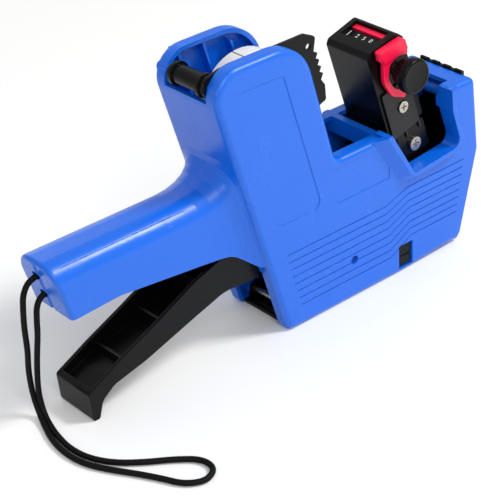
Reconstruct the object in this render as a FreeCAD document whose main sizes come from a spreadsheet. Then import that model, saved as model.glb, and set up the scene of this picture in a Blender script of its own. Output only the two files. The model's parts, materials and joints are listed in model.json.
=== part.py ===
"""Price labeling gun for a single line of digits, with its labels loaded.

Row frame in millimetres: +X forward, +Y to the left, +Z up.  The origin lies on the flat underside of
the bottom cover, on the middle plane between the two halves of the body.  The gun rests on its base
with the lever released, so the print head is raised and leans back.
"""
import FreeCAD, Part
import math
import os
import re

Vector = FreeCAD.Vector
Placement = FreeCAD.Placement
Rotation = FreeCAD.Rotation

doc = FreeCAD.newDocument("price_labeling_gun")

# ---------------------------------------------------------------------------------------------------
# Driving dimensions
# ---------------------------------------------------------------------------------------------------
DIMENSIONS = {
    "half_width": 18.9,         # middle plane to the outer face of a side plate
    "wall": 2.0,                # moulded wall of the body
    "tray_half_gap": 12.4,      # middle plane to the inner edge of a raised rim
    "edge_round": 2.6,          # rounding of the side plates' outer edge
    "lean": 15.2,               # rear edge, degrees behind the vertical
    "rear_foot": 35.0,          # origin back to the rear edge, at the base
    "housing_top": 127.0,       # height of the label housing
    "rear_wall_top": 114.0,     # the rear wall stops here, below the barrel
    "deck": 69.2,               # height of the edge between the housing and the nose
    "nose_top": 78.0,
    "handle_half_width": 12.4,
    "handle_wall": 1.2,
    "handle_top": 73.6,
    "handle_foot": 122.1,       # origin back to the handle's end plane, measured at the base
    "pivot_x": 2.9,
    "pivot_z": 18.55,
    "pivot_radius": 2.0,
    "head_lean": 16.8,          # print head at rest, degrees behind the vertical
    "head_half_width": 12.0,
    "head_rear": 9.0,           # type centre back to the head's rear face
    "head_front": 11.8,
    "head_height": 95.0,        # type face up to the head's top
    "face_x": 54.2,             # centre of the type face at rest
    "face_z": 16.7,
    "knob_radius": 7.7,
    "knob_up": 80.2,
    "knob_forward": 3.4,
    "roll_radius": 21.2,
    "roll_half_width": 10.75,
    "roll_x": -29.5,
    "roll_z": 96.5,
    "core_radius": 6.5,
    "barrel_x": -62.6,
    "barrel_z": 119.6,
    "barrel_radius": 4.0,
    "lever_half_width": 10.9,
    "lever_wall": 1.6,
    "feed_x": 25.8,
    "feed_z": 12.4,
    "feed_radius": 7.6,
    "hinge_x": -27.0,
    "hinge_z": 4.6,
    "ink_arm_x": 62.9,
    "ink_arm_z": 43.7,
    "ink_x": 60.8,
    "ink_z": 11.4,
    "ink_radius": 3.2,
    "roller_x": 65.9,           # applicator roller
    "roller_z": 4.4,
    "strap_radius": 1.2,
    "fit": 0.05,                # radial running clearance of pins
    "gap": 0.3,                 # clearance between pieces that move past each other
}
sheet = doc.addObject("Spreadsheet::Sheet", "Dims")
for row, (alias, number) in enumerate(DIMENSIONS.items(), start=1):
    sheet.set(f"A{row}", alias)
    sheet.set(f"B{row}", str(number))
    sheet.setAlias(f"B{row}", alias)
doc.recompute()
WORD = re.compile("[a-z_]+")


def dim(alias):
    """A driving dimension, read back from the sheet."""
    return float(getattr(sheet, alias))


def bound(expression):
    """An expression over aliases, written the way the document's expressions need it."""
    return WORD.sub(lambda word: "Dims." + word.group(0), expression)


# ---------------------------------------------------------------------------------------------------
# Outlines
# ---------------------------------------------------------------------------------------------------
def rounded(corners):
    """Closed outline through (x, y, corner radius) corners: straight edges joined by tangent arcs."""
    count = len(corners)
    cuts = []
    for index, (x, y, radius) in enumerate(corners):
        here = Vector(x, y, 0)
        before = Vector(*corners[index - 1][:2], 0) - here
        after = Vector(*corners[(index + 1) % count][:2], 0) - here
        before.normalize()
        after.normalize()
        half = before.getAngle(after) / 2
        if radius <= 0:
            cuts.append((here, None, here))
            continue
        reach = radius / math.tan(half)
        bisector = (before + after).normalize()
        crown = here + bisector * (radius / math.sin(half) - radius)
        cuts.append((here + before * reach, crown, here + after * reach))
    edges = []
    for index in range(count):
        start, crown, end = cuts[index]
        if crown is not None:
            edges.append(Part.Arc(start, crown, end))
        following = cuts[(index + 1) % count][0]
        if (following - end).Length > 1e-6:
            edges.append(Part.LineSegment(end, following))
    return edges


def box_outline(x0, y0, x1, y1, radius=0.0):
    return rounded([(x0, y0, radius), (x1, y0, radius), (x1, y1, radius), (x0, y1, radius)])


def ring(x, y, radius):
    return [Part.Circle(Vector(x, y, 0), Vector(0, 0, 1), radius)]


def inset(corners, distance):
    """The outline of rounded corners, moved inward by a wall thickness."""
    face = Part.Face(Part.Wire([edge.toShape() for edge in rounded(corners)]))
    return [curve_of(edge) for edge in face.makeOffset2D(-distance).OuterWire.OrderedEdges]


def curve_of(edge):
    """The trimmed curve of an edge, as a sketch takes it."""
    ends = [vertex.Point for vertex in edge.Vertexes]
    if isinstance(edge.Curve, Part.Line):
        return Part.LineSegment(ends[0], ends[-1])
    middle = edge.valueAt((edge.FirstParameter + edge.LastParameter) / 2)
    return Part.Arc(edge.valueAt(edge.FirstParameter), middle, edge.valueAt(edge.LastParameter))


# ---------------------------------------------------------------------------------------------------
# Pieces made as PartDesign bodies
# ---------------------------------------------------------------------------------------------------
NODES = []


class Piece:
    """One moulded or turned piece: a body built from profiles on its own origin planes."""

    def __init__(self, name):
        self.body = doc.addObject("PartDesign::Body", name)
        self.body.Label = name
        self.count = 0
        NODES.append(self.body)

    def sketch(self, plane, outline, offset, tilt=0.0):
        self.count += 1
        sketch = self.body.newObject("Sketcher::SketchObject", f"{self.body.Name}_profile_{self.count}")
        origin = [item for item in self.body.Origin.OriginFeatures if item.Role == plane + "_Plane"][0]
        sketch.AttachmentSupport = (origin, [""])
        sketch.MapMode = "FlatFace"
        sketch.AttachmentOffset = Placement(Vector(0, 0, 0), Rotation(Vector(1, 0, 0), tilt))
        sketch.setExpression("AttachmentOffset.Base.z", bound(offset))
        sketch.addGeometry(outline, False)
        return sketch

    def extrude(self, kind, plane, outline, low, high):
        """Fill or cut an outline between two planes; low and high are expressions along +X, +Y or +Z."""
        offset = f"0 - ({high})" if plane == "XZ" else low
        sketch = self.sketch(plane, outline, offset)
        feature = self.body.newObject("PartDesign::" + kind, f"{self.body.Name}_{kind}_{self.count}")
        feature.Profile = sketch
        feature.Refine = False
        feature.setExpression("Length", bound(f"({high}) - ({low})"))
        return feature

    def pad(self, plane, outline, low, high):
        before = self.volume()
        self.extrude("Pad", plane, outline, low, high)
        self.settle(before, grows=True)

    def pocket(self, plane, outline, low, high):
        before = self.volume()
        self.extrude("Pocket", plane, outline, low, high).Reversed = True
        self.settle(before, grows=False)

    def loft(self, sketches):
        before = self.volume()
        feature = self.body.newObject("PartDesign::AdditiveLoft", f"{self.body.Name}_loft_{self.count}")
        feature.Profile = sketches[0]
        feature.Sections = [(sketch, [""]) for sketch in sketches[1:]]
        feature.Ruled = True
        self.settle(before, grows=True)

    def fillet(self, radius, choose):
        """Round every edge that the test accepts."""
        shape = self.body.Shape
        names = [f"Edge{i}" for i, edge in enumerate(shape.Edges, start=1) if choose(edge)]
        if not names:
            raise RuntimeError(f"{self.body.Label}: no edge to round")
        feature = self.body.newObject("PartDesign::Fillet", f"{self.body.Name}_round_{self.count}")
        feature.Base = (self.body.Tip if self.body.Tip != feature else feature.BaseFeature, names)
        feature.setExpression("Radius", bound(radius))
        self.count += 1
        doc.recompute()
        if "Invalid" in feature.State or not self.body.Shape.isValid():
            raise RuntimeError(f"{self.body.Label}: rounding {self.count} failed")

    def volume(self):
        return self.body.Shape.Volume if self.body.Tip else 0.0

    def settle(self, before, grows):
        doc.recompute()
        change = self.body.Shape.Volume - before
        if self.body.Tip.State and "Invalid" in self.body.Tip.State:
            raise RuntimeError(f"{self.body.Label}: feature {self.count} failed")
        if (change > 0) != grows or abs(change) < 1e-6:
            raise RuntimeError(f"{self.body.Label}: feature {self.count} changed the volume by {change:.3f}")


def solid_group(name, shapes):
    """A node of separate identical or nested solids, made directly from shapes."""
    item = doc.addObject("Part::Feature", name)
    item.Label = name
    item.Shape = shapes[0] if len(shapes) == 1 else Part.makeCompound(shapes)
    item.Placement = Placement()
    NODES.append(item)
    return item


def rod(x, z, radius, low, high):
    """A cylinder along Y."""
    return Part.makeCylinder(radius, high - low, Vector(x, low, z), Vector(0, 1, 0))


def pin(name, x, z, radius, low, high):
    """A plain pin along Y, from low to high; every argument is an expression."""
    item = doc.addObject("Part::Cylinder", name)
    item.Label = name
    item.setExpression("Radius", bound(radius))
    item.setExpression("Height", bound(f"({high}) - ({low})"))
    item.Placement = Placement(Vector(0, 0, 0), Rotation(Vector(1, 0, 0), -90))
    item.setExpression("Placement.Base.x", bound(x))
    item.setExpression("Placement.Base.y", bound(low))
    item.setExpression("Placement.Base.z", bound(z))
    NODES.append(item)
    return item


# ---------------------------------------------------------------------------------------------------
# Lines that several pieces share
# ---------------------------------------------------------------------------------------------------
LEAN = math.tan(math.radians(dim("lean")))
PIVOT = (dim("pivot_x"), dim("pivot_z"))
FRONT = [(68.9, 2.1), (79.8, 43.0), (76.5, dim("nose_top"))]     # nose: bottom, widest point, top


def rear_x(z):
    """The leaning rear edge of the label housing."""
    return -dim("rear_foot") - LEAN * z


def end_x(z):
    """The leaning end of the handle, parallel to the rear edge."""
    return -dim("handle_foot") - LEAN * z


def head(forward, up):
    """A point of the print head, from the centre of its type face, along its leaning axes."""
    angle = math.radians(dim("head_lean"))
    return (dim("face_x") + forward * math.cos(angle) - up * math.sin(angle),
            dim("face_z") + forward * math.sin(angle) + up * math.cos(angle))


def head_outline(corners):
    return rounded([(*head(forward, up), radius) for forward, up, radius in corners])


def head_box(rear, front, low, high, radius=0.0):
    return head_outline([(rear, low, radius), (front, low, radius), (front, high, radius), (rear, high, radius)])


def housing_corners():
    """Side view of the body without its handle."""
    top = dim("housing_top")
    deck = dim("deck")
    return [
        (rear_x(0), 0, 3.6), (31, 0, 0), (*FRONT[0], 4), (*FRONT[1], 8), (*FRONT[2], 3),
        (60.4, dim("nose_top"), 2.5), (57.6, deck, 2.5), (-5.6, deck, 4.5), (-20.7, top, 19.6),
        (rear_x(top), top, 12.0)]


# ---------------------------------------------------------------------------------------------------
# Blue body: two halves
# ---------------------------------------------------------------------------------------------------
SCREWS = [(-118.0, 65.5), (-86.0, 66.0), (-41.5, 66.0), (70.3, 70.0)]
SCREW_BOSS = 3.2
RIB_FOOT = 76.0
RIBS = [(-45.0, 126.0), (-32.5, 126.0), (-19.5, 121.0)]
STRAP_HOLES = (65.3, 56.5)
STRAP_Y = 2.4
FLARE_STEPS = 6
FLARE_LENGTH = 24.0
FLARE_WIDTH = 4.4
FLARE_RISE = 12.0
GROOVE_COUNT = 8
GROOVE_WIDTH = 0.55


def groove_outline(index):
    """One of the styling grooves: level, a rising jog, and level again to the nose."""
    left_z = 37.0 - 3.78 * index
    right_z = 41.3 - 3.5 * index
    start = -35.2 + 1.03 * index
    jog_start = 21.6 + 0.45 * index
    jog_end = 34.8 + 0.25 * index
    upper = [(start, left_z, 0), (jog_start, left_z, 0), (jog_end, right_z, 0), (69.5 - 0.6 * index, right_z, 0)]
    lower = [(x + 0.05, z - GROOVE_WIDTH, 0) for x, z, _ in reversed(upper)]
    return rounded(upper + lower)


PANELS = [
    [(-56.6, 116.5, 2.5), (-32.4, 116.5, 2.5), (-14.4, 51.3, 4), (-38.9, 51.3, 6)],
    [(-6.5, 49.4, 3), (24.2, 49.4, 1), (24.2, 66.0, 0), (-11.0, 66.0, 0)],
]
LIP = 22.4            # middle plane to the lip of the knob scoop
WINDOW = [(22.6, 71.0, 0), (35.9, 48.4, 3.2), (64.6, 51.2, 4.2), (58.9, 69.0, 6), (58.2, 79.0, 0)]
WINDOW_RIM = [(60.3, 78.0, 0), (60.8, 69.4, 6), (67.0, 49.4, 5.5), (34.9, 46.5, 5.0), (20.4, 70.4, 0)]
BULGE_FOOT = [(14.6, 69.1, 0), (30.5, 42.6, 8), (72.5, 45.6, 8), (66.2, 69.0, 8), (65.4, 77.9, 0)]
BULGE_LIP = [(20.4, 70.4, 0), (34.9, 46.5, 5), (67.0, 49.4, 5.5), (60.8, 69.4, 6), (60.3, 78.0, 0)]


def add_scoop(piece):
    """The knob scoop of the right half: an outward bulge with a deep lipped window in it."""
    sketches = [piece.sketch("XZ", rounded(BULGE_FOOT), "half_width - 0.8"),
                piece.sketch("XZ", rounded(BULGE_LIP), str(LIP))]
    piece.loft(sketches)
    piece.pad("XZ", rounded(WINDOW + WINDOW_RIM), f"0 - {LIP}", "0 - tray_half_gap - 1.8")
    piece.pocket("XZ", rounded(WINDOW + [(58.2, 99.0, 0), (22.6, 99.0, 0)]), f"0 - {LIP} - 1",
                 "0 - tray_half_gap + 1")


def body_half(name, side):
    """One half of the body; side is -1 for the right half and +1 for the left half."""
    def span(low, high):
        return (low, high) if side > 0 else (f"0 - ({high})", f"0 - ({low})")

    piece = Piece(name)
    outer = side * dim("half_width")
    piece.pad("XZ", rounded(housing_corners()), *span("0", "half_width"))
    piece.fillet("edge_round", lambda edge: all(abs(v.Point.y - outer) < 1e-6 for v in edge.Vertexes))

    # handle: a straight bar with a rounded top, and the flare that joins it to the rear wall
    top = dim("handle_top")
    cosine = math.cos(math.radians(dim("lean")))

    def section(setback, half, crown):
        return piece.sketch("YZ", flare_section(side, half, crown / cosine),
                            f"0 - rear_foot - ({setback})", tilt=-dim("lean"))

    bar_half = dim("handle_half_width")
    piece.loft([section("handle_foot - rear_foot", bar_half, top), section("24", bar_half, top)])
    flare = []
    for step in range(FLARE_STEPS + 1):
        turn = math.radians(90 * step / FLARE_STEPS)
        setback = FLARE_LENGTH * (1 - math.sin(turn))
        swell = 1 - math.cos(turn)
        flare.append(section(f"{setback:.3f}", bar_half + FLARE_WIDTH * swell, top + FLARE_RISE * swell))
    flare.append(section("0 - 1.2", bar_half + FLARE_WIDTH, top + FLARE_RISE))
    piece.loft(flare)
    piece.fillet("1.6", lambda edge: all(abs(v.Point.x - end_x(v.Point.z)) < 1e-4 for v in edge.Vertexes)
                 and edge.Vertexes[0].Point.z > 48)
    underside = [(end_x(20) - 8, 20, 0), (end_x(49.3) - 8, 49.3, 0), (-113, 50.8, 0), (-58, 44.8, 12),
                 (rear_x(33.0), 33.0, 0), (rear_x(20), 20, 0)]
    piece.pocket("XZ", rounded(underside), *span("0", "half_width"))

    # hollow inside: the body, then the handle with its open underside
    piece.pocket("XZ", inset(housing_corners(), dim("wall")), *span("0", "half_width - wall"))
    inner_top = top - 1.9
    piece.pocket("XZ", rounded([(end_x(20) + 2.2, 20, 0), (-30, 20, 0), (-30, inner_top, 0),
                                (end_x(inner_top) + 2.2, inner_top, 3)]),
                 *span("0", "handle_half_width - 3.4"))
    piece.pocket("XZ", rounded([(end_x(20) + 2.2, 20, 0), (-30, 20, 0), (-30, 62, 0),
                                (end_x(62) + 2.2, 62, 0)]),
                 *span("0", "handle_half_width - handle_wall"))

    # open between the rims: above the rear wall, over the deck, under the base and at the nose
    piece.pocket("XZ", rounded([(-95, dim("rear_wall_top"), 0), (66, dim("rear_wall_top"), 0),
                                (66, 140, 0), (-95, 140, 0)]), *span("0", "tray_half_gap"))
    piece.pocket("XZ", rounded([(-14, 60, 0), (66, 60, 0), (66, 140, 0), (-40, 140, 0)]),
                 *span("0", "tray_half_gap"))
    piece.pocket("XZ", rounded([(-60, -5, 0), (100, -5, 0), (100, 90, 0), (74.2, 90, 0), (74.2, 74, 0),
                                (60, 74, 0), (60, 9, 0), (-60, 9, 0)]), *span("0", "tray_half_gap"))
    piece.pocket("XZ", rounded([(-80, -5, 0), (-28, -5, 0), (-28, 30, 0), (-43.2, 30, 0),
                                (-80, 30, 0)]), *span("0", "tray_half_gap"))

    # head stop bar across the deck, behind the print head
    piece.pad("XZ", box_outline(20.8, 61.5, 24.0, dim("deck")), *span("0", "half_width - 1"))

    # ribs inside the raised tray, beside the labels
    for rib_x, rib_top in RIBS:
        shift = LEAN * (rib_top - RIB_FOOT)
        piece.pad("XZ", rounded([(rib_x, RIB_FOOT, 0), (rib_x + 1, RIB_FOOT, 0),
                                 (rib_x + 1 - shift, rib_top, 0), (rib_x - shift, rib_top, 0)]),
                  *span("tray_half_gap + 0.4", "half_width - 1"))

    # bosses for the screws, the pivot, the hinge, the feed shaft and the ink roller holder
    for index, (x, z) in enumerate(SCREWS):
        reach = "handle_half_width - 1" if index < 2 else "half_width - 1"
        piece.pad("XZ", ring(x, z, SCREW_BOSS), *span("0", reach))
        if side > 0:
            piece.pocket("XZ", ring(x, z, 1.35), *span("0", "half_width + 1"))
            piece.pocket("XZ", ring(x, z, 2.6), *span("handle_half_width - 2" if index < 2 else
                                                       "half_width - 2.4", "half_width + 1"))
        else:
            piece.pocket("XZ", ring(x, z, 1.1), *span("0", "8.5"))
    for x, z, radius, reach in [(*PIVOT, 4.6, "lever_half_width + 0.4"),
                                (dim("hinge_x"), dim("hinge_z"), 3.2, "tray_half_gap"),
                                (dim("feed_x"), dim("feed_z"), 3.2, "tray_half_gap + 0.2"),
                                (dim("ink_arm_x"), dim("ink_arm_z"), 3.2, "tray_half_gap + 2.4"),
                                (dim("barrel_x"), dim("barrel_z"), 2.3, "tray_half_gap"),
                                (dim("roller_x"), dim("roller_z"), 2.6, "tray_half_gap")]:
        piece.pad("XZ", ring(x, z, radius), *span(reach, "half_width - 1"))
    piece.pocket("XZ", ring(*PIVOT, dim("pivot_radius")), *span("0", "half_width + 1"))
    for x, z, radius in [(dim("hinge_x"), dim("hinge_z"), 1.5), (dim("feed_x"), dim("feed_z"), 1.5),
                         (dim("ink_arm_x"), dim("ink_arm_z"), 1.5), (dim("barrel_x"), dim("barrel_z"), 1.5),
                         (dim("roller_x"), dim("roller_z"), 1.0)]:
        piece.pocket("XZ", ring(x, z, radius), *span("0", "half_width - 1.4"))

    # ledge under the platen's end
    piece.pad("XZ", rounded([(46.5, 1.5, 0), (58.0, 1.9, 0), (58.0, 3.6, 0), (46.5, 3.05, 0)]),
              *span("tray_half_gap + 0.3", "half_width - 1"))

    # shallow panels and styling grooves in the side plate
    for panel in PANELS:
        piece.pocket("XZ", rounded(panel), *span("half_width - 0.3", "half_width + 1"))
    grooves = [edge for index in range(GROOVE_COUNT) for edge in groove_outline(index)]
    piece.pocket("XZ", grooves, *span("half_width - 0.35", "half_width + 1"))
    if side < 0:
        add_scoop(piece)

    # holes of the wrist strap in the handle's end wall, window for the cover latch
    if side > 0:
        for hole_z in STRAP_HOLES:
            piece.pocket("YZ", ring(STRAP_Y, hole_z, 1.9), "0 - 146", "0 - 130")
    piece.pocket("XZ", box_outline(29.4, 1.9, 37.8, 13.5, 0.6), *span("half_width - 3", "half_width + 1"))
    return piece


def flare_section(side, half, crown):
    """Half section of the flare between handle and body: flat underside, rounded shoulder."""
    base = 36.0
    shoulder = 9.0
    corners = [Vector(0, base, 0), Vector(side * half, base, 0), Vector(side * half, crown - shoulder, 0),
               Vector(side * (half - shoulder), crown, 0), Vector(0, crown, 0)]
    middle = Vector(side * (half - shoulder * (1 - math.sqrt(0.5))), crown - shoulder * (1 - math.sqrt(0.5)), 0)
    return [Part.LineSegment(corners[0], corners[1]), Part.LineSegment(corners[1], corners[2]),
            Part.Arc(corners[2], middle, corners[3]), Part.LineSegment(corners[3], corners[4]),
            Part.LineSegment(corners[4], corners[0])]


body_half("right_body_shell", -1)
body_half("left_body_shell", 1)


# ---------------------------------------------------------------------------------------------------
# Black covers
# ---------------------------------------------------------------------------------------------------
COVER_HALF = "tray_half_gap - 0.3"
NOSE_RISE = math.tan(math.radians(3.05))     # the base rises this much towards the nose, from x = 31


def base_z(x):
    return max(0.0, (x - 31) * NOSE_RISE)


def front_cover():
    """Cover plate of the nose: two flat faces, a turned-in top edge and two side flanges."""
    piece = Piece("front_cover")
    low, mid, high = (70.5, 8.2), (79.8, 43.0), (76.4, 79.3)
    thick = 1.9
    piece.pad("XZ", rounded([(*low, 0), (*mid, 8), (*high, 1), (high[0] - thick, high[1], 0.4),
                             (mid[0] - thick - 0.1, mid[1], 6), (low[0] - thick - 0.1, low[1], 0)]),
              f"0 - ({COVER_HALF})", COVER_HALF)
    for side in ("0 - ", "0 + "):
        ends = (f"{side}({COVER_HALF})", f"{side}({COVER_HALF} - 1.6)")
        low_end, high_end = ends if side == "0 - " else ends[::-1]
        piece.pad("XZ", rounded([(low[0] - 1, low[1], 0), (mid[0] - 1, mid[1], 6), (mid[0] - 1.8, 60, 0),
                                 (mid[0] - 6.5, 60, 2), (mid[0] - 6.5, 43, 4), (low[0] - 4, low[1] + 6, 1),
                                 (low[0] - 4, low[1], 0)]), low_end, high_end)
    for y in (-8.0, -1.5, 5.0):
        piece.pocket("YZ", box_outline(y, 78.4, y + 3.0, 80), "60", "90")
    return piece


def bottom_cover():
    """Cover under the mechanism; it swings down about the hinge pin at its rear."""
    piece = Piece("bottom_cover")
    half = COVER_HALF
    front = 58.0
    rear = -33.2
    plate = [(rear, 0.0, 0.6), (31, 0.0, 0), (front, base_z(front), 0), (front, base_z(front) + 1.9, 0),
             (31, 1.9, 0), (rear, 1.9, 0.6)]
    piece.pad("XZ", rounded(plate), f"0 - ({half})", half)
    for low, high in ((f"0 - ({half})", f"0 - ({half} - 1.4)"), (f"{half} - 1.4", half)):
        piece.pad("XZ", rounded([(-30.4, 1.0, 0), (44.4, 1.0, 0), (44.4, 5.6, 1), (29.0, 7.6, 4), (-22, 7.6, 3),
                                 (-24.6, 8.2, 2.6), (-29.6, 8.2, 2.8), (-30.4, 4, 0)]), low, high)
        piece.pocket("XZ", ring(dim("hinge_x"), dim("hinge_z"), 1.55), low, high)
    for x in (-14.0, 2.0, 39.0):
        piece.pad("XZ", box_outline(x, 1.0, x + 1.4, 3.6), "0 - 10.9", "10.9")
    return piece


def cover_latch():
    """Spring button of the bottom cover, pressed in through the window in the right side plate."""
    piece = Piece("cover_latch")
    piece.pad("XZ", box_outline(30.0, 3.0, 37.2, 12.8, 0.8), "0 - half_width + 0.9", "0 - half_width + 3.4")
    piece.pad("XZ", box_outline(31.4, 4.6, 35.8, 7.4, 0.4), "0 - half_width + 3.4", "0 - tray_half_gap - 1.2")
    piece.pocket("XZ", box_outline(30.9, 7.2, 36.3, 8.0), "0 - half_width + 0.5", "0 - half_width + 1.3")
    return piece


front_cover()
bottom_cover()
cover_latch()
pin("cover_hinge_pin", "hinge_x", "hinge_z", "1.5 - fit", "0 - half_width + 1.7", "half_width - 1.7")


# ---------------------------------------------------------------------------------------------------
# Squeeze lever, print head frame and their pivot
# ---------------------------------------------------------------------------------------------------
def squeeze_lever():
    """Channel-shaped lever, open on top, with cross ribs and a finger hook at its tip."""
    piece = Piece("squeeze_lever")
    side_view = [
        (-131.6, 12.9, 1.6), (-116.0, 20.8, 30), (-98.6, 28.7, 60), (-76.0, 39.6, 30), (-62.0, 44.2, 10),
        (-42.0, 41.0, 14), (9.4, 26.0, 6.5), (9.4, 11.6, 6.5), (-8.0, 12.6, 12), (-40.0, 27.0, 20),
        (-61.7, 28.6, 20), (-80.0, 23.0, 60), (-103.0, 15.6, 60), (-119.3, 11.9, 8), (-125.4, 7.4, 5),
        (-127.6, 0.0, 1.0), (-130.6, 0.0, 1.2)]
    piece.pad("XZ", rounded(side_view), "0 - lever_half_width", "lever_half_width")
    channel = [
        (-129.4, 13.4, 0), (-129.4, 9.5, 2), (-119.0, 14.0, 6), (-103.0, 17.8, 60), (-80.0, 25.0, 60),
        (-61.0, 30.6, 20), (-40.0, 29.2, 20), (-8.0, 14.6, 8), (16, 6, 0), (16, 60, 0), (-129.4, 60, 0)]
    piece.pocket("XZ", rounded(channel), "0 - lever_half_width + lever_wall", "lever_half_width - lever_wall")
    for x, top in ((-113.0, 19.5), (-93.0, 28.0), (-73.0, 36.0), (-56.0, 38.5)):
        piece.pad("XZ", rounded([(x, top - 13.5, 0), (x + 1.4, top - 13.5, 0), (x + 1.4, top, 0), (x, top, 0)]),
                  "0 - lever_half_width + 1", "lever_half_width - 1")
        piece.pocket("XZ", rounded([(x - 0.5, top - 20, 0), (x + 2, top - 20, 0), (x + 2, lever_floor(x) - 0.9, 0),
                                    (x - 0.5, lever_floor(x) - 0.9, 0)]),
                     "0 - lever_half_width - 1", "lever_half_width + 1")
    piece.pocket("XZ", ring(*PIVOT, dim("pivot_radius") + 0.02), "0 - 20", "20")
    return piece


def lever_floor(x):
    """Height of the lever's underside, near enough to trim its ribs."""
    stations = [(-119.3, 12.3), (-103.0, 15.8), (-80.0, 23.2), (-61.7, 28.6), (-40.0, 27.0)]
    for (x0, z0), (x1, z1) in zip(stations, stations[1:]):
        if x0 <= x <= x1:
            return z0 + (z1 - z0) * (x - x0) / (x1 - x0)
    raise ValueError("rib outside the lever")


def head_frame():
    """Yoke on the lever's pivot: two arms, a cross web, and the column that carries the print head."""
    piece = Piece("head_frame")
    arm = [(-4.2, 22.6, 4), (-4.2, 12.4, 4), (9.0, 12.6, 5), (30.0, 24.5, 8), (*head(-8.6, 22.0), 2),
           (*head(-8.6, 50.0), 1), (*head(-11.0, 54.0), 1), (24.0, 50.0, 10)]
    for low, high in (("0 - 9.1", "0 - 7.5"), ("7.5", "9.1")):
        piece.pad("XZ", rounded(arm), low, high)
        if low.startswith("0 -"):
            piece.pad("XZ", rounded([(20, 30, 1), (27, 30, 1), (30, 40, 1), (24, 40, 1)]), "0 - 9.1", "9.1")
    piece.pocket("XZ", ring(*PIVOT, dim("pivot_radius") + 0.02), "0 - 20", "20")
    return piece


UPPER_SCREW = (1.6, 61.4)     # forward, up
LOWER_SCREW = (2.8, 40.2)


def head_housing():
    """Black box of the print head: upper box, lower column, hollow for the bands, window on top."""
    piece = Piece("head_housing")
    rear, front, height = -dim("head_rear"), dim("head_front"), dim("head_height")
    piece.pad("XZ", head_outline([(rear, 50, 1), (front, 50, 1), (front, height - 4.0, 2.6),
                                  (front - 3, height, 2.4), (rear + 1.5, height, 1.8), (rear, height - 2, 1.8)]),
              "0 - head_half_width", "head_half_width")
    piece.pad("XZ", head_outline([(rear + 0.9, 13, 0), (8.4, 13, 0), (8.4, 51, 0), (rear + 0.9, 51, 0)]),
              "0 - head_half_width + 0.9", "head_half_width - 0.9")
    piece.pocket("XZ", head_box(-6.6, 6.6, 5, 91.6, 0), "0 - 10.2", "10.2")
    piece.pocket("XZ", head_box(-2.0, 7.3, 90, 97, 0), "0 - 9.6", "9.6")
    piece.pocket("XZ", ring(*head(dim("knob_forward"), dim("knob_up")), 2.6), "0 - 14", "0 - 9")
    piece.pocket("XZ", ring(*head(*UPPER_SCREW), 1.2), "0 - 14", "0 - 11.2")
    return piece


def band_loop(y):
    """One digit band: a thin closed belt that runs from the type face up over the selector shaft."""
    half, thick, width = 5.6, 1.1, 1.9
    low, high = 0.0, 89.6
    outer = Part.Face(Part.Wire([edge.toShape() for edge in head_box(-half, half, low, high, 1.6)]))
    inner = Part.Face(Part.Wire([edge.toShape() for edge in
                                 head_box(-half + thick, half - thick, low + thick, high - thick, 0.5)]))
    belt = outer.cut(inner)
    belt.rotate(Vector(0, 0, 0), Vector(1, 0, 0), 90)
    belt.translate(Vector(0, y + width / 2, 0))
    return belt.extrude(Vector(0, -width, 0))


BAND_COUNT = 8
BAND_PITCH = 2.3


def type_block():
    piece = Piece("type_block")
    piece.pad("XZ", head_box(-4.2, 4.2, 1.3, 12.0, 0.4), "0 - 9.9", "9.9")
    return piece


def head_side_plate():
    """Dark plate on the right of the print head, held by the upper screw."""
    piece = Piece("head_side_plate")
    piece.pad("XZ", head_outline([(-7.4, 49, 1), (8.6, 49, 1), (8.6, 73, 1), (-7.4, 73, 1)]),
              "0 - head_half_width - 1.0", "0 - head_half_width - 0.02")
    for foot in (-7.4, -0.2, 7.6):
        piece.pad("XZ", head_box(foot, foot + 0.9, 45.4, 49.4), "0 - head_half_width - 1.0",
                  "0 - head_half_width - 0.3")
    piece.pocket("XZ", ring(*head(*UPPER_SCREW), 2.9), "0 - 20", "0 - head_half_width - 0.5")
    piece.pocket("XZ", ring(*head(*UPPER_SCREW), 1.3), "0 - 20", "0 - 10")
    return piece


def head_lug():
    """Lower block that carries the side plate, with the larger screw."""
    piece = Piece("head_lug")
    piece.pad("XZ", head_outline([(-5.2, 33.4, 1), (11.0, 33.4, 1), (11.0, 48.4, 1), (-5.2, 48.4, 1)]),
              "0 - head_half_width - 0.2", "0 - head_half_width + 0.9")
    piece.pocket("XZ", ring(*head(*LOWER_SCREW), 1.6), "0 - 20", "0 - 9")
    return piece


def head_screws():
    """The two cross-head screws of the print head's right side."""
    shapes = []
    for forward, up, radius, depth, y in ((*UPPER_SCREW, 2.6, 1.3, -dim("head_half_width") - 0.5),
                                         (*LOWER_SCREW, 3.1, 1.5, -dim("head_half_width") - 0.2)):
        x, z = head(forward, up)
        top = rod(x, z, radius, y - depth, y)
        slots = Part.makeBox(radius * 1.3, 0.8, 0.6, Vector(x - radius * 0.65, y - depth, z - 0.3)).fuse(
            Part.makeBox(0.6, 0.8, radius * 1.3, Vector(x - 0.3, y - depth, z - radius * 0.65)))
        shank = rod(x, z, radius * 0.42, y, y + 0.9)
        shapes.append(top.fuse(shank).cut(slots))
    return solid_group("head_screws", shapes)


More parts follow.
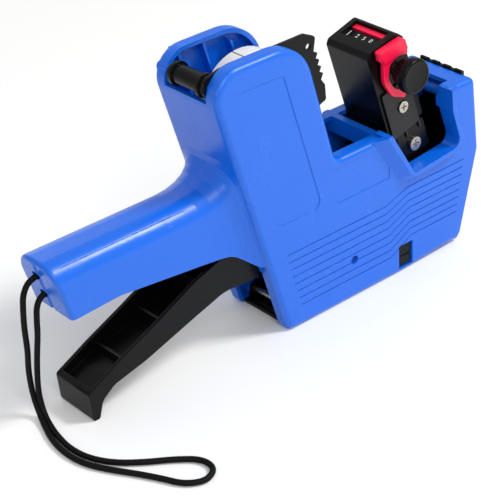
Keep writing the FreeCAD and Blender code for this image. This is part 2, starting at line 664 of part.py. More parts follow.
def position_slider():
    """Red slider: a block at the head's top edge and a narrow hook round the knob's neck."""
    piece = Piece("position_slider")
    hook = [(-5.0, 94.5, 0.8), (9.6, 92.8, 1.0), (10.0, 84.4, 0.8), (5.0, 86.6, 1.5), (-0.6, 86.0, 2.5),
            (-3.3, 80.2, 5), (-1.6, 74.2, 4), (3.9, 68.9, 0.4), (2.6, 66.4, 0.8), (-3.8, 71.4, 6),
            (-6.0, 79.8, 8), (-4.2, 86.6, 3), (-3.6, 88.6, 1), (-5.6, 91.0, 1)]
    piece.pad("XZ", head_outline(hook), "0 - head_half_width - 3.0", "0 - head_half_width - 1.2")
    block = [(-5.0, 94.5, 0.8), (9.6, 92.8, 1.0), (9.9, 87.0, 1.0), (-3.4, 88.4, 1.0)]
    piece.pad("XZ", head_outline(block), "0 - head_half_width - 3.9", "0 - head_half_width - 0.3")
    return piece


def pointer_strip():
    """Red strip in the window, which points at the digit being set."""
    piece = Piece("pointer_strip")
    piece.pad("XZ", head_box(4.3, 7.0, 91.9, 93.6, 0.3), "0 - 9.4", "9.4")
    return piece


def digit_plate():
    """Dark plate with the position marks under the window."""
    piece = Piece("digit_plate")
    piece.pad("XZ", head_box(-1.8, 4.0, 91.8, 92.8, 0.2), "0 - 9.4", "9.4")
    return piece


squeeze_lever()
pin("pivot_pin", "pivot_x", "pivot_z", "pivot_radius - fit", "0 - half_width + 2.6", "half_width - 2.6")
head_frame()
head_housing()
head_side_plate()
head_lug()
head_screws()
type_block()
solid_group("digit_bands", [band_loop((index - (BAND_COUNT - 1) / 2) * BAND_PITCH)
                            for index in range(BAND_COUNT)])
pointer_strip()
digit_plate()
position_slider()


def selector(name, radius_steps):
    """A turned piece on the knob's axis: (radius, low, high) steps along Y."""
    x, z = head(dim("knob_forward"), dim("knob_up"))
    piece = Piece(name)
    for radius, low, high in radius_steps:
        piece.pad("XZ", ring(x, z, radius), low, high)
    return piece


knob = selector("selector_knob", [(5.2, "0 - head_half_width - 9.4", "0 - head_half_width - 3.9"),
                                  (dim("knob_radius"), "0 - head_half_width - 13", "0 - head_half_width - 9.2")])
selector("selector_shaft", [(2.3, "0 - head_half_width - 3.9", "0 - 9.6"), (1.0, "0 - 9.6", "9.6")])


# ---------------------------------------------------------------------------------------------------
# Label holder and roll
# ---------------------------------------------------------------------------------------------------
def label_holder():
    """Side arm with a serrated front edge, its barrel at the rear, and the hub that takes the roll."""
    piece = Piece("label_holder")
    arm = [(-66.0, 116.0, 3), (-66.4, 123.6, 3), (-58, 125.6, 6), (-15.0, 125.9, 2.4), (-9.4, 123.2, 1.6),
           (-10.6, 116.6, 0.6)]
    step_x, step_z = arm[-1][0], arm[-1][1]
    for tooth in range(4):
        step_z -= 3.2
        step_x += 0.9
        arm += [(step_x + 1.3, step_z + 2.6, 0.5), (step_x, step_z, 0.4)]
    arm += [(-5.0, 101.0, 0.5), (-4.6, 94.3, 1), (-8.6, 92.8, 2), (-20.0, 88.0, 8), (-38.0, 88.5, 9),
            (-44.0, 99.0, 9), (-56.0, 112.0, 10)]
    piece.pad("XZ", rounded(arm), "0 - roll_half_width - 1.55", "0 - roll_half_width - 0.25")
    piece.pocket("XZ", ring(-13.2, 120.0, 1.3), "0 - 20", "0 - 5")
    piece.pad("XZ", ring(dim("barrel_x"), dim("barrel_z"), dim("barrel_radius")),
              "0 - roll_half_width - 0.8", "roll_half_width - 1.4")
    for rib_low in ("0 - 9.6", "6.4"):
        piece.pad("XZ", ring(dim("barrel_x"), dim("barrel_z"), dim("barrel_radius") + 0.9), rib_low,
                  rib_low + " + 1.6")
    piece.pad("XZ", ring(dim("roll_x"), dim("roll_z"), 4.6), "0 - roll_half_width - 0.5", "roll_half_width")
    piece.pocket("XZ", ring(dim("roll_x"), dim("roll_z"), 3.2), "0 - roll_half_width + 1", "20")
    piece.pocket("XZ", ring(dim("barrel_x"), dim("barrel_z"), 1.55), "0 - 20", "20")
    return piece


def tube(name, x, z, outer, inner, low, high):
    piece = Piece(name)
    piece.pad("XZ", ring(x, z, outer) + ring(x, z, inner), low, high)
    return piece


label_holder()
pin("holder_pin", "barrel_x", "barrel_z", "1.5 - fit", "0 - half_width + 1.7", "half_width - 1.7")
ROLL = (dim("roll_x"), dim("roll_z"))
tube("roll_core", *ROLL, dim("core_radius"), 4.65, "0 - roll_half_width", "roll_half_width")
tube("label_roll", *ROLL, dim("roll_radius"), dim("core_radius") + 0.02, "0 - roll_half_width", "roll_half_width")


# ---------------------------------------------------------------------------------------------------
# Label feed, platen and applicator
# ---------------------------------------------------------------------------------------------------
def feed_wheel():
    """Feed drum with a row of teeth at each side."""
    piece = Piece("feed_wheel")
    x, z, radius = dim("feed_x"), dim("feed_z"), dim("feed_radius")
    piece.pad("XZ", ring(x, z, radius - 1.6) + ring(x, z, 1.53), "0 - 6.4", "6.4")
    teeth = []
    count = 12
    for index in range(count * 2):
        angle = math.pi * index / count
        reach = radius if index % 2 == 0 else radius - 2.0
        teeth.append((x + reach * math.cos(angle), z + reach * math.sin(angle), 0.3))
    for low, high in (("0 - 6.4", "0 - 4.6"), ("4.6", "6.4")):
        piece.pad("XZ", rounded(teeth) + ring(x, z, 1.53), low, high)
    return piece


def plate_piece(name, corners, low, high):
    piece = Piece(name)
    piece.pad("XZ", rounded(corners), low, high)
    return piece


feed_wheel()
pin("feed_shaft", "feed_x", "feed_z", "1.5 - fit", "0 - half_width + 1.7", "half_width - 1.7")
plate_piece("feed_pawl", [(9.2, 21.4, 1.6), (9.2, 16.4, 1.2), (13.4, 17.2, 1.5), (18.0, 14.9, 0.3),
                          (18.45, 16.3, 0.2), (14.4, 20.4, 2)], "0 - 2", "2")
plate_piece("platen", [(45.6, 3.1, 0), (59.0, 3.78, 0), (59.0, 4.48, 0.3), (45.6, 3.8, 0.3)],
            "0 - 13.8", "13.8")
plate_piece("peel_bar", [(60.0, 1.9, 0.2), (61.2, 1.9, 0.2), (61.8, 5.8, 0.2), (60.6, 5.8, 0.2)],
            "0 - 12.2", "12.2")
tube("applicator_roller", dim("roller_x"), dim("roller_z"), 2.9, 1.03, "0 - 11.8", "11.8")
pin("applicator_pin", "roller_x", "roller_z", "1 - fit", "0 - half_width + 2.2", "half_width - 2.2")


def ink_holder():
    """Swinging fork that carries the ink roller in the nose."""
    piece = Piece("ink_holder")
    x0, z0, x1, z1 = dim("ink_arm_x"), dim("ink_arm_z"), dim("ink_x"), dim("ink_z")
    arm = [(x0 - 2.6, z0 + 2.6, 2.5), (x0 - 2.6, z0 - 4, 2), (x1 - 2.2, z1 - 2.2, 2.1),
           (x1 + 2.2, z1 - 2.2, 2.1), (x1 + 2.4, z1 + 8, 3), (x0 + 4.4, z0 - 9, 3), (x0 + 2.8, z0 + 2.6, 2.5)]
    web = [(62.4, 24.0, 0.4), (64.0, 24.0, 0.4), (64.6, 33.0, 0.4), (63.0, 33.0, 0.4)]
    piece.pad("XZ", rounded(arm), "0 - 14.4", "0 - 13.0")
    piece.pad("XZ", rounded(web), "0 - 13.4", "13.4")
    piece.pad("XZ", rounded(arm), "13.0", "14.4")
    piece.pocket("XZ", ring(x0, z0, 1.5), "0 - 20", "20")
    piece.pocket("XZ", ring(x1, z1, 1.0), "0 - 20", "20")
    return piece


ink_holder()
tube("ink_roller", dim("ink_x"), dim("ink_z"), dim("ink_radius"), 1.03, "0 - 10.6", "10.6")
pin("ink_roller_pin", "ink_x", "ink_z", "1 - fit", "0 - 14.4", "14.4")
solid_group("ink_arm_pins", [rod(dim("ink_arm_x"), dim("ink_arm_z"), 1.5 - dim("fit"), low, low + 4.3)
                             for low in (-17.3, 13.0)])


# ---------------------------------------------------------------------------------------------------
# Screws of the body, return spring, wrist strap
# ---------------------------------------------------------------------------------------------------
def body_screws():
    shapes = []
    for index, (x, z) in enumerate(SCREWS):
        head_y = dim("handle_half_width") - 2.0 if index < 2 else dim("half_width") - 2.4
        top = rod(x, z, 2.4, head_y, head_y + 1.6)
        cross = Part.makeBox(3.0, 0.8, 0.6, Vector(x - 1.5, head_y + 0.8, z - 0.3)).fuse(
            Part.makeBox(0.6, 0.8, 3.0, Vector(x - 0.3, head_y + 0.8, z - 1.5)))
        shapes.append(rod(x, z, 1.05, -7.0, head_y).fuse(top).cut(cross))
    return solid_group("body_screws", shapes)


def return_spring():
    """Torsion spring coiled round the pivot boss, as a stack of close turns with two legs."""
    turns = []
    wire = 0.5
    for index in range(4):
        coil = Part.makeTorus(5.6, wire, Vector(PIVOT[0], -2.0 + index * 2 * wire * 0.96, PIVOT[1]), Vector(0, 1, 0))
        turns.append(coil)
    leg = Part.makeCylinder(wire, 22, Vector(PIVOT[0] + 2, -2.0, PIVOT[1] + 5.25), Vector(-1, 0, 0.28))
    foot = Part.makeCylinder(wire, 15, Vector(PIVOT[0] + 2, 0.9, PIVOT[1] - 5.4), Vector(1, 0, -0.62))
    solid = turns[0].multiFuse(turns[1:] + [leg, foot])
    return solid_group("return_spring", [solid])


body_screws()
return_spring()

# Wrist strap: from the upper hole in the handle's end, down to the table, out along the outer side of a
# narrow loop, and back along its inner side up into the lower hole.
FLOOR = 1.25
STRAP_ROUTE = [
    (-134.8, 2.4, 65.3), (-142.0, 2.4, 65.2), (-146.4, 2.2, 60.6), (-146.8, 3.2, 52.4), (-146.2, 5.2, 43.0),
    (-145.6, 6.0, 32.6), (-145.0, 8.6, 22.6), (-144.2, 9.8, 13.8), (-143.7, 9.4, 6.8), (-144.4, 5.8, 2.4),
    (-146.8, -0.8, FLOOR), (-150.0, -10.2, FLOOR), (-151.3, -20.8, FLOOR), (-149.8, -31.0, FLOOR),
    (-145.0, -40.6, FLOOR), (-139.6, -49.0, FLOOR), (-134.6, -58.0, FLOOR), (-130.6, -66.6, FLOOR),
    (-123.4, -71.0, FLOOR), (-116.4, -67.4, FLOOR), (-116.6, -59.6, FLOOR), (-124.2, -52.4, FLOOR),
    (-133.4, -45.8, FLOOR), (-141.4, -38.4, FLOOR), (-146.6, -29.2, FLOOR), (-148.2, -19.0, FLOOR),
    (-146.8, -8.6, FLOOR), (-144.2, 0.8, FLOOR), (-142.8, 5.6, 3.6), (-142.8, 7.2, 10.4), (-143.0, 6.0, 20.0),
    (-143.2, 3.6, 31.0), (-142.9, 1.6, 40.6), (-142.3, 1.8, 47.4), (-141.2, 2.3, 52.8), (-138.2, 2.4, 56.2),
    (-134.2, 2.4, 56.7)]


def strap_path(points):
    """Straight runs joined by tangent arcs, each as large as its two runs allow."""
    edges, radii = [], []
    last = Vector(*points[0])
    for before, here, after in zip(points, points[1:], points[2:]):
        corner = Vector(*here)
        back, ahead = Vector(*before) - corner, Vector(*after) - corner
        reach = 0.45 * min(back.Length, ahead.Length)
        back.normalize()
        ahead.normalize()
        half = back.getAngle(ahead) / 2
        radius = reach * math.tan(half)
        radii.append(round(radius, 1))
        crown = corner + (back + ahead).normalize() * (radius / math.sin(half) - radius)
        start, end = corner + back * reach, corner + ahead * reach
        edges += [Part.LineSegment(last, start).toShape(), Part.Arc(start, crown, end).toShape()]
        last = end
    edges.append(Part.LineSegment(last, Vector(*points[-1])).toShape())
    return Part.Wire(edges), radii


def wrist_strap():
    """Plain tube along the strap's route."""
    path, radii = strap_path(STRAP_ROUTE)
    start = Vector(*STRAP_ROUTE[0])
    section = Part.Wire([Part.Circle(start, Vector(*STRAP_ROUTE[1]) - start, dim("strap_radius")).toShape()])
    tube_shape = path.makePipeShell([section], True, False)
    exact = math.pi * dim("strap_radius") ** 2 * path.Length
    print("strap length", round(path.Length, 1), "volume", round(tube_shape.Volume, 1), "of", round(exact, 1))
    print("strap bend radii", radii)
    return solid_group("wrist_strap", [tube_shape])


wrist_strap()


# ---------------------------------------------------------------------------------------------------
# Checks, then one file for each piece
# ---------------------------------------------------------------------------------------------------
doc.recompute()
for item in doc.Objects:
    if "Invalid" in item.State or "Error" in item.State:
        raise RuntimeError(f"{item.Label} failed to recompute")
for node in NODES:
    if node.Shape.isNull() or not node.Shape.isValid() or not node.Shape.Solids:
        raise RuntimeError(f"{node.Label} has no valid shape")

os.makedirs("parts", exist_ok=True)
for node in NODES:
    node.Shape.exportStep(f"parts/{node.Label}.step")
print(len(NODES), "pieces written")
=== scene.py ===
"""Looks of the price labeling gun: finishes, braided strap, fluted knob, printed digits, studio."""
import json
import math

import bpy
from mathutils import Matrix, Vector


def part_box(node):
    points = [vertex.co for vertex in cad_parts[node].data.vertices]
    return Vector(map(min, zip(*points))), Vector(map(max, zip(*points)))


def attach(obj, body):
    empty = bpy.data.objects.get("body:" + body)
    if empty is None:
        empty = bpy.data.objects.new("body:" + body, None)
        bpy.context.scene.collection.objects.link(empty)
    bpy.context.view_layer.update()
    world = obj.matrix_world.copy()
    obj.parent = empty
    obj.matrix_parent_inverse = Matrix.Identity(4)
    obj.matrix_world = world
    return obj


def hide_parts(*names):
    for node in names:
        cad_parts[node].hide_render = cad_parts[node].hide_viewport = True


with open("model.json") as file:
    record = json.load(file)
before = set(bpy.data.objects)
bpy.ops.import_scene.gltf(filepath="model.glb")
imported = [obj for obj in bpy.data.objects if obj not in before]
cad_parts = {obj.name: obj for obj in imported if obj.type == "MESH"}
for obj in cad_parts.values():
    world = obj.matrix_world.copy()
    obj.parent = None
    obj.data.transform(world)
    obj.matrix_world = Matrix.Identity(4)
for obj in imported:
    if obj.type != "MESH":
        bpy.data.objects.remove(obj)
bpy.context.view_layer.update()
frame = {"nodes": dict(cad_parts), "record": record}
MM = 0.001


# ---------------------------------------------------------------------------------------------------
# Camera
# ---------------------------------------------------------------------------------------------------
CAMERA_PLACE = (-0.4157, -0.4599, 0.3897)
CAMERA_AZIMUTH = math.radians(-39.36)
CAMERA_ELEVATION = math.radians(30.92)
CAMERA_ROLL = math.radians(-3.39)
CAMERA_LENS = 121.1


def add_camera():
    camera = bpy.data.objects.new("camera", bpy.data.cameras.new("camera"))
    camera.data.sensor_width = 36
    camera.data.lens = CAMERA_LENS
    camera.data.clip_start = 0.05
    turn = (Matrix.Rotation(CAMERA_AZIMUTH, 3, "Z")
            @ Matrix.Rotation(math.radians(90) - CAMERA_ELEVATION, 3, "X")
            @ Matrix.Rotation(CAMERA_ROLL, 3, "Z"))
    camera.matrix_world = Matrix.Translation(CAMERA_PLACE) @ turn.to_4x4()
    bpy.context.scene.collection.objects.link(camera)
    bpy.context.scene.camera = camera


add_camera()


# ---------------------------------------------------------------------------------------------------
# Materials
# ---------------------------------------------------------------------------------------------------
BEVEL_SAMPLES = 6
FLAT_LIKENESS = 0.88         # cosine between the rounded and flat normals where rubbing begins
EDGE_LIKENESS = 0.72         # and where it is full
RUBBED_EDGE = 0.0007


class Shader:
    """A Principled material and short calls for the nodes that feed it."""

    def __init__(self, name, colour, roughness, metallic=0.0):
        self.material = bpy.data.materials.new(name)
        self.material.use_nodes = True
        self.nodes = self.material.node_tree.nodes
        self.links = self.material.node_tree.links
        self.surface = self.nodes["Principled BSDF"]
        self.colour = colour
        self.roughness = roughness
        self.surface.inputs["Base Color"].default_value = (*colour, 1)
        self.surface.inputs["Roughness"].default_value = roughness
        self.surface.inputs["Metallic"].default_value = metallic
        self.place = self.node("ShaderNodeTexCoord").outputs["Object"]

    def node(self, kind, inputs=None, **settings):
        made = self.nodes.new(kind)
        for key, value in settings.items():
            setattr(made, key, value)
        for key, value in (inputs or {}).items():
            if isinstance(value, bpy.types.NodeSocket):
                self.links.new(value, made.inputs[key])
            else:
                made.inputs[key].default_value = value
        return made

    def noise(self, scale, detail=2.0, place=None):
        """Noise from 0 to 1; scale is in cells per metre."""
        return self.node("ShaderNodeTexNoise", {"Vector": place or self.place, "Scale": scale,
                                                "Detail": detail}).outputs["Fac"]

    def stretched(self, scale):
        return self.node("ShaderNodeMapping", {"Vector": self.place, "Scale": scale}).outputs["Vector"]

    def spread(self, value, low, high, to_low=0.0, to_high=1.0):
        return self.node("ShaderNodeMapRange", {"Value": value, "From Min": low, "From Max": high,
                                                "To Min": to_low, "To Max": to_high}).outputs["Result"]

    def math(self, operation, first, second=0.0):
        return self.node("ShaderNodeMath", {0: first, 1: second}, operation=operation).outputs[0]

    def tint(self, share, colour, base=None):
        """Mixes colour over the base by share and makes the result the base colour."""
        mixed = self.node("ShaderNodeMix", {"Factor": share, "B": (*colour, 1)}, data_type="RGBA")
        if base is None:
            mixed.inputs["A"].default_value = (*self.colour, 1)
        else:
            self.links.new(base, mixed.inputs["A"])
        self.links.new(mixed.outputs["Result"], self.surface.inputs["Base Color"])
        return mixed.outputs["Result"]

    def rough(self, value):
        self.links.new(value, self.surface.inputs["Roughness"])

    def relief(self, height, depth, edge=0.0):
        """Bumps by height, over edges rounded by edge metres."""
        bump = self.node("ShaderNodeBump", {"Height": height, "Distance": depth, "Strength": 1.0})
        if edge > 0:
            soft = self.node("ShaderNodeBevel", {"Radius": edge}, samples=BEVEL_SAMPLES)
            self.links.new(soft.outputs["Normal"], bump.inputs["Normal"])
        self.links.new(bump.outputs["Normal"], self.surface.inputs["Normal"])

    def edges(self, radius):
        """Share from 0 to 1 of how much a spot lies on an edge: its rounded normal leaves the flat one."""
        soft = self.node("ShaderNodeBevel", {"Radius": radius}, samples=BEVEL_SAMPLES)
        flat = self.node("ShaderNodeNewGeometry").outputs["Normal"]
        alike = self.node("ShaderNodeVectorMath", {0: soft.outputs["Normal"], 1: flat},
                          operation="DOT_PRODUCT").outputs["Value"]
        return self.spread(alike, FLAT_LIKENESS, EDGE_LIKENESS)


def plastic(name, colour, roughness, grain=0.00001, wear=0.2, worn=None, edge=0.0003, gloss=0.5):
    """Moulded plastic: fine grain, handled patches and, with a worn colour, rubbed edges."""
    shader = Shader(name, colour, roughness)
    shader.surface.inputs["IOR"].default_value = 1.5
    shader.surface.inputs["Specular IOR Level"].default_value = gloss
    handled = shader.noise(26.0, 4.0)
    scuffs = shader.noise(260.0, 3.0, shader.stretched((1.0, 3.5, 0.7)))
    patchy = shader.math("ADD", shader.spread(handled, 0.35, 0.65, -0.05, 0.06),
                         shader.spread(scuffs, 0.55, 0.8, 0.0, 0.03))
    shader.rough(shader.math("ADD", patchy, roughness))
    base = shader.tint(shader.spread(handled, 0.3, 0.7, 0.0, 0.10), tuple(0.8 * part for part in colour))
    if worn:
        rubbed = shader.math("MULTIPLY", shader.edges(RUBBED_EDGE),
                             shader.spread(scuffs, 0.45, 0.65, 0.02, wear))
        shader.tint(rubbed, worn, base)
    shader.relief(shader.noise(2600.0, 2.0), grain, edge)
    return shader.material


def metal(name, colour, roughness, brush=(1.0, 1.0, 12.0)):
    """Plated or drawn steel with fine brushing and a few dull spots."""
    shader = Shader(name, colour, roughness, metallic=1.0)
    lines = shader.noise(900.0, 3.0, shader.stretched(brush))
    dull = shader.noise(420.0, 2.0)
    shader.rough(shader.math("ADD", shader.spread(lines, 0.3, 0.7, -0.06, 0.08),
                             shader.spread(dull, 0.5, 0.8, roughness, roughness + 0.18)))
    shader.tint(shader.spread(dull, 0.55, 0.8, 0.0, 0.35), tuple(0.6 * part for part in colour))
    shader.relief(lines, 0.00001, 0.00015)
    return shader.material


LABELS_AROUND = 11
GAP_SHARE = 0.05             # of a label, the dark gap beside it
RIM_DEPTH = 0.0004           # how far in from the roll's rim the gaps show
PAPER_THICKNESS = 0.00035    # of a turn of labels and backing


def label_paper():
    """White coated labels wound on a roll: a dark gap every label, and layers at the ends."""
    low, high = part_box("label_roll")
    middle = (low + high) / 2
    shader = Shader("label_paper", (0.86, 0.86, 0.84), 0.42)
    centred = shader.node("ShaderNodeVectorMath", {0: shader.place, 1: tuple(middle)}, operation="SUBTRACT")
    parts = shader.node("ShaderNodeSeparateXYZ", {0: centred.outputs[0]}).outputs
    angle = shader.math("ARCTAN2", parts["Z"], parts["X"])
    label = shader.math("FRACT", shader.math("MULTIPLY", angle, LABELS_AROUND / math.tau))
    gap = shader.math("LESS_THAN", label, GAP_SHARE)
    radius = shader.math("SQRT", shader.math("ADD", shader.math("MULTIPLY", parts["X"], parts["X"]),
                                             shader.math("MULTIPLY", parts["Z"], parts["Z"])))
    on_rim = shader.math("GREATER_THAN", radius, (high.x - low.x) / 2 - RIM_DEPTH)
    line = shader.math("MULTIPLY", gap, on_rim)
    layers = shader.math("SINE", shader.math("MULTIPLY", radius, math.tau / PAPER_THICKNESS))
    wavy = shader.noise(40.0, 2.0)
    base = shader.tint(shader.spread(shader.math("MULTIPLY", layers, wavy), -0.5, 0.6, 0.22, 0.0),
                       (0.55, 0.53, 0.48))
    shader.tint(line, (0.10, 0.10, 0.11), base)
    shader.relief(shader.math("ADD", layers, shader.noise(1500.0)), 0.00002)
    return shader.material


def rubber(name, colour, roughness=0.7):
    shader = Shader(name, colour, roughness)
    shader.tint(shader.spread(shader.noise(160.0, 3.0), 0.4, 0.7, 0.0, 0.4),
                tuple(min(1.0, 1.5 * part + 0.01) for part in colour))
    shader.rough(shader.spread(shader.noise(300.0), 0.3, 0.7, roughness - 0.1, roughness + 0.1))
    shader.relief(shader.noise(3000.0), 0.00002, 0.0002)
    return shader.material


def braid():
    """Polyester cord: fine fibres along the plait, a little sheen."""
    shader = Shader("strap_cord", (0.002, 0.002, 0.002), 0.5)
    shader.surface.inputs["Specular IOR Level"].default_value = 0.16
    fibres = shader.noise(9000.0, 3.0)
    shader.tint(shader.spread(fibres, 0.45, 0.75, 0.0, 0.6), (0.010, 0.010, 0.011))
    shader.rough(shader.spread(fibres, 0.3, 0.7, 0.42, 0.7))
    shader.relief(fibres, 0.00004)
    return shader.material


FINISHES = {
    "blue_abs": plastic("blue_abs", (0.002, 0.128, 0.70), 0.29, grain=0.000004, edge=0.0003, gloss=0.5),
    "black_plastic": plastic("black_plastic", (0.0025, 0.0026, 0.0025), 0.26, grain=0.00002,
                             worn=(0.05, 0.05, 0.05), gloss=0.16),
    "dark_grey_plastic": plastic("dark_grey_plastic", (0.009, 0.009, 0.010), 0.36, grain=0.00003,
                                 worn=(0.08, 0.08, 0.08), gloss=0.3),
    "red_plastic": plastic("red_plastic", (0.90, 0.006, 0.06), 0.30, gloss=0.4),
    "white_plastic": plastic("white_plastic", (0.86, 0.86, 0.84), 0.45, worn=(0.6, 0.6, 0.6)),
    "steel": metal("steel", (0.50, 0.47, 0.41), 0.28),
    "spring_steel": metal("spring_steel", (0.30, 0.30, 0.31), 0.34),
    "label_paper": label_paper(),
    "core_board": rubber("core_board", (0.40, 0.30, 0.20), 0.8),
    "band_rubber": rubber("band_rubber", (0.012, 0.012, 0.012)),
    "white_rubber": rubber("white_rubber", (0.70, 0.70, 0.66), 0.6),
    "ink_foam": rubber("ink_foam", (0.012, 0.012, 0.03), 0.85),
    "strap_cord": braid(),
}


def dress(piece, slot):
    piece.data.materials.clear()
    piece.data.materials.append(FINISHES[slot])


for part in frame["record"]["subparts"]:
    dress(frame["nodes"][part["node"]], part["material_slot"])


def new_piece(name, vertices, faces, slot, body, *stands_for, smooth=True):
    """A mesh piece with its finish, riding on a body, in place of the CAD nodes named."""
    mesh = bpy.data.meshes.new(name)
    mesh.from_pydata([tuple(vertex) for vertex in vertices], [], faces)
    mesh.validate()
    mesh.polygons.foreach_set("use_smooth", [smooth] * len(mesh.polygons))
    piece = bpy.data.objects.new(name, mesh)
    bpy.context.scene.collection.objects.link(piece)
    dress(piece, slot)
    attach(piece, body)
    if stands_for:
        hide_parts(*stands_for)
    return piece


# ---------------------------------------------------------------------------------------------------
# Wrist strap
# ---------------------------------------------------------------------------------------------------
STRAP_FLOOR = 1.25
STRAP_ROUTE = [
    (-134.8, 2.4, 65.3), (-142.0, 2.4, 65.2), (-146.4, 2.2, 60.6), (-146.8, 3.2, 52.4), (-146.2, 5.2, 43.0),
    (-145.6, 6.0, 32.6), (-145.0, 8.6, 22.6), (-144.2, 9.8, 13.8), (-143.7, 9.4, 6.8), (-144.4, 5.8, 2.4),
    (-146.8, -0.8, STRAP_FLOOR), (-150.0, -10.2, STRAP_FLOOR), (-151.3, -20.8, STRAP_FLOOR),
    (-149.8, -31.0, STRAP_FLOOR), (-145.0, -40.6, STRAP_FLOOR), (-139.6, -49.0, STRAP_FLOOR),
    (-134.6, -58.0, STRAP_FLOOR), (-130.6, -66.6, STRAP_FLOOR), (-123.4, -71.0, STRAP_FLOOR),
    (-116.4, -67.4, STRAP_FLOOR), (-116.6, -59.6, STRAP_FLOOR), (-124.2, -52.4, STRAP_FLOOR),
    (-133.4, -45.8, STRAP_FLOOR), (-141.4, -38.4, STRAP_FLOOR), (-146.6, -29.2, STRAP_FLOOR),
    (-148.2, -19.0, STRAP_FLOOR), (-146.8, -8.6, STRAP_FLOOR), (-144.2, 0.8, STRAP_FLOOR),
    (-142.8, 5.6, 3.6), (-142.8, 7.2, 10.4), (-143.0, 6.0, 20.0), (-143.2, 3.6, 31.0), (-142.9, 1.6, 40.6),
    (-142.3, 1.8, 47.4), (-141.2, 2.3, 52.8), (-138.2, 2.4, 56.2), (-134.2, 2.4, 56.7)]
STRAP_RADIUS = 1.2 * MM
STRAP_SIDES = 32
STRANDS = 8                  # yarns each way round the cord
PLAIT_PITCH = 6.4 * MM       # length in which a yarn goes once round
PLAIT_DEPTH = 0.34           # share of the radius that the yarns rise and fall by
STRAP_STEP = 0.24 * MM       # between rings of the cord


def route_line(points):
    """Evenly spaced points along the smooth curve that a route controls, in metres."""
    curve = bpy.data.curves.new("route", "CURVE")
    curve.dimensions = "3D"
    curve.resolution_u = 24
    spline = curve.splines.new("NURBS")
    spline.points.add(len(points) - 1)
    for point, place in zip(spline.points, points):
        point.co = (*(MM * part for part in place), 1)
    spline.order_u = 3
    spline.use_endpoint_u = True
    holder = bpy.data.objects.new("route", curve)
    mesh = bpy.data.meshes.new_from_object(holder)
    line = [vertex.co.copy() for vertex in mesh.vertices]
    bpy.data.objects.remove(holder)
    bpy.data.meshes.remove(mesh)
    return line


def even(line, step):
    """The same line with its points a step apart."""
    spaced, travelled, due = [line[0]], 0.0, step
    for start, end in zip(line, line[1:]):
        length = (end - start).length
        while length > 0 and travelled + length >= due:
            spaced.append(start.lerp(end, (due - travelled) / length))
            due += step
        travelled += length
    return spaced


def wrist_strap():
    """Round braid: yarns cross over and under each other, so the tube's radius follows the plait."""
    line = even(route_line(STRAP_ROUTE), STRAP_STEP)
    vertices, faces = [], []
    side = Vector((0, 1, 0))
    for index, place in enumerate(line):
        ahead = line[min(index + 1, len(line) - 1)] - line[max(index - 1, 0)]
        ahead.normalize()
        side = (side - ahead * side.dot(ahead)).normalized()
        other = ahead.cross(side)
        along = math.tau * index * STRAP_STEP / PLAIT_PITCH
        for corner in range(STRAP_SIDES):
            angle = math.tau * corner / STRAP_SIDES
            left = math.sin(STRANDS / 2 * (angle + along))
            right = math.sin(STRANDS / 2 * (angle - along))
            radius = STRAP_RADIUS * (1 - PLAIT_DEPTH + PLAIT_DEPTH * max(abs(left), abs(right)))
            vertices.append(place + radius * (math.cos(angle) * side + math.sin(angle) * other))
    for index in range(len(line) - 1):
        for corner in range(STRAP_SIDES):
            here, beside = index * STRAP_SIDES + corner, index * STRAP_SIDES + (corner + 1) % STRAP_SIDES
            faces.append((here, beside, beside + STRAP_SIDES, here + STRAP_SIDES))
    faces.append(tuple(reversed(range(STRAP_SIDES))))
    faces.append(tuple(range(len(vertices) - STRAP_SIDES, len(vertices))))
    strap = new_piece("braided_strap", vertices, faces, "strap_cord", "body", "wrist_strap")


wrist_strap()


# ---------------------------------------------------------------------------------------------------
# Selector knob
# ---------------------------------------------------------------------------------------------------
KNOB_SIDES = 144
KNOB_FLUTES = 24
KNOB_PROFILE = [        # share of the length from the inner end, share of the radius, depth of the flutes
    (0.0, 0.0, 0), (0.0, 0.66, 0), (0.02, 0.70, 0), (0.06, 0.70, 0.5), (0.12, 0.70, 1), (0.44, 0.70, 1),
    (0.50, 0.70, 0.4), (0.53, 0.72, 0), (0.53, 0.93, 0), (0.55, 0.97, 0), (0.58, 0.995, 0), (0.62, 1.0, 0),
    (0.86, 1.0, 0), (0.91, 0.99, 0), (0.95, 0.965, 0), (0.98, 0.93, 0), (0.995, 0.88, 0), (1.0, 0.82, 0),
    (0.985, 0.76, 0), (0.98, 0.70, 0), (0.98, 0.0, 0)]
FLUTE_DEPTH = 0.09


def selector_knob():
    """Round grip with a fluted neck and a smooth cap, turned about the shaft."""
    low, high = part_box("selector_knob")
    middle, radius = (low + high) / 2, (high.x - low.x) / 2
    vertices, faces = [], []
    for along, share, flutes in KNOB_PROFILE:
        for corner in range(KNOB_SIDES):
            angle = math.tau * corner / KNOB_SIDES
            cut = 1 - FLUTE_DEPTH * flutes * (0.5 - 0.5 * math.cos(KNOB_FLUTES * angle)) ** 2
            reach = radius * share * cut
            vertices.append((middle.x + reach * math.cos(angle), high.y + (low.y - high.y) * along,
                             middle.z + reach * math.sin(angle)))
    for row in range(len(KNOB_PROFILE) - 1):
        for corner in range(KNOB_SIDES):
            here, beside = row * KNOB_SIDES + corner, row * KNOB_SIDES + (corner + 1) % KNOB_SIDES
            faces.append((here, here + KNOB_SIDES, beside + KNOB_SIDES, beside))
    new_piece("fluted_knob", vertices, faces, "black_plastic", "selector_knob", "selector_knob")


selector_knob()


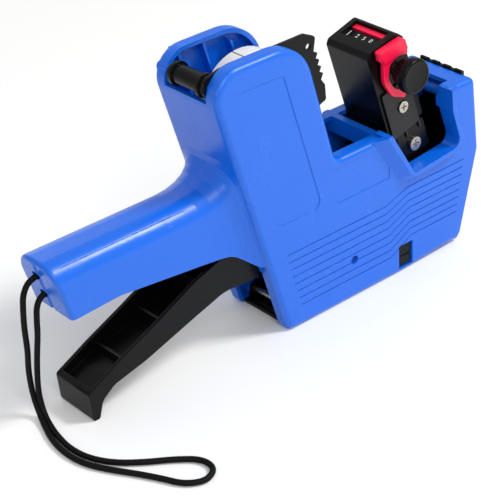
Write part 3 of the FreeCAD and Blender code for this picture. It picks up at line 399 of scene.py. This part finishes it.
# ---------------------------------------------------------------------------------------------------
# Printed digits
# ---------------------------------------------------------------------------------------------------
HEAD_LEAN = math.radians(16.8)
FORWARD = Vector((math.cos(HEAD_LEAN), 0, math.sin(HEAD_LEAN)))
UPWARD = Vector((-math.sin(HEAD_LEAN), 0, math.cos(HEAD_LEAN)))
DIGIT_HEIGHT = 2.2 * MM
DIGIT_SPACING = 3.9 * MM
FONT_SHARE = 1.4             # font size for a digit of height 1
INK_DEPTH = 0.03 * MM
PRINT_RISE = 0.52 * MM       # from the middle of the digit plate to just over its top
MARK_OUTLINE = ((-2.4, 8.6), (2.0, 8.6), (2.0, 9.0), (-2.4, 9.0))   # forward, left; mm
DIGITS = "250"


def plate_point(forward, left):
    """A point just over the digit plate, from the middle of its top."""
    low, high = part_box("digit_plate")
    return (low + high) / 2 + UPWARD * PRINT_RISE + FORWARD * forward + Vector((0, left, 0))


def printed_digits():
    """The digits set on the bands, read from behind the head, and a position mark beside them."""
    vertices, faces = [], []
    for index, digit in enumerate(DIGITS):
        text = bpy.data.curves.new("digit", "FONT")
        text.body = digit
        text.size = DIGIT_HEIGHT * FONT_SHARE
        text.extrude = INK_DEPTH
        text.align_x = "CENTER"
        text.align_y = "CENTER"
        holder = bpy.data.objects.new("digit", text)
        mesh = bpy.data.meshes.new_from_object(holder)
        start = len(vertices)
        place = plate_point(0.3 * MM, (1 - index) * DIGIT_SPACING)
        for vertex in mesh.vertices:
            vertices.append(place - vertex.co.x * Vector((0, 1, 0)) + vertex.co.y * FORWARD
                            + vertex.co.z * UPWARD)
        faces += [[start + corner for corner in face.vertices] for face in mesh.polygons]
        bpy.data.objects.remove(holder)
    new_piece("set_digits", vertices, faces, "white_plastic", "squeeze_lever", smooth=False)
    mark = [plate_point(forward * MM, left * MM) for forward, left in MARK_OUTLINE]
    new_piece("position_mark", mark, [(0, 1, 2, 3)], "white_plastic", "squeeze_lever", smooth=False)


printed_digits()


# ---------------------------------------------------------------------------------------------------
# Studio
# ---------------------------------------------------------------------------------------------------
FLOOR_SIZE = 6
SKY_STRENGTH = 0.55
LIGHTS = (              # place, size, power
    ("key", (-0.55, -0.95, 0.95), 0.7, 6),
    ("side", (0.46, -0.46, 0.90), 0.24, 7),
    ("back", (0.2, 1.2, 0.5), 0.8, 2))
LIT_POINT = Vector((0, 0, 0.06))


def add_floor():
    bpy.ops.mesh.primitive_plane_add(size=FLOOR_SIZE)
    floor = bpy.context.object
    floor.name = "floor"
    shader = Shader("floor", (0.95, 0.95, 0.94), 0.6)
    shader.tint(shader.spread(shader.noise(3.0, 2.0), 0.3, 0.7, 0.0, 0.03), (0.80, 0.80, 0.82))
    floor.data.materials.append(shader.material)


def add_light(name, place, size, power):
    light = bpy.data.objects.new(name, bpy.data.lights.new(name, "AREA"))
    light.data.size = size
    light.data.energy = power
    light.location = place
    light.rotation_euler = (LIT_POINT - Vector(place)).to_track_quat("-Z", "Y").to_euler()
    bpy.context.scene.collection.objects.link(light)


def add_studio():
    world = bpy.data.worlds.new("studio")
    world.use_nodes = True
    world.node_tree.nodes["Background"].inputs["Color"].default_value = (1, 1, 1, 1)
    world.node_tree.nodes["Background"].inputs["Strength"].default_value = SKY_STRENGTH
    bpy.context.scene.world = world
    bpy.context.scene.view_settings.view_transform = "Standard"
    add_floor()
    for light in LIGHTS:
        add_light(*light)


add_studio()
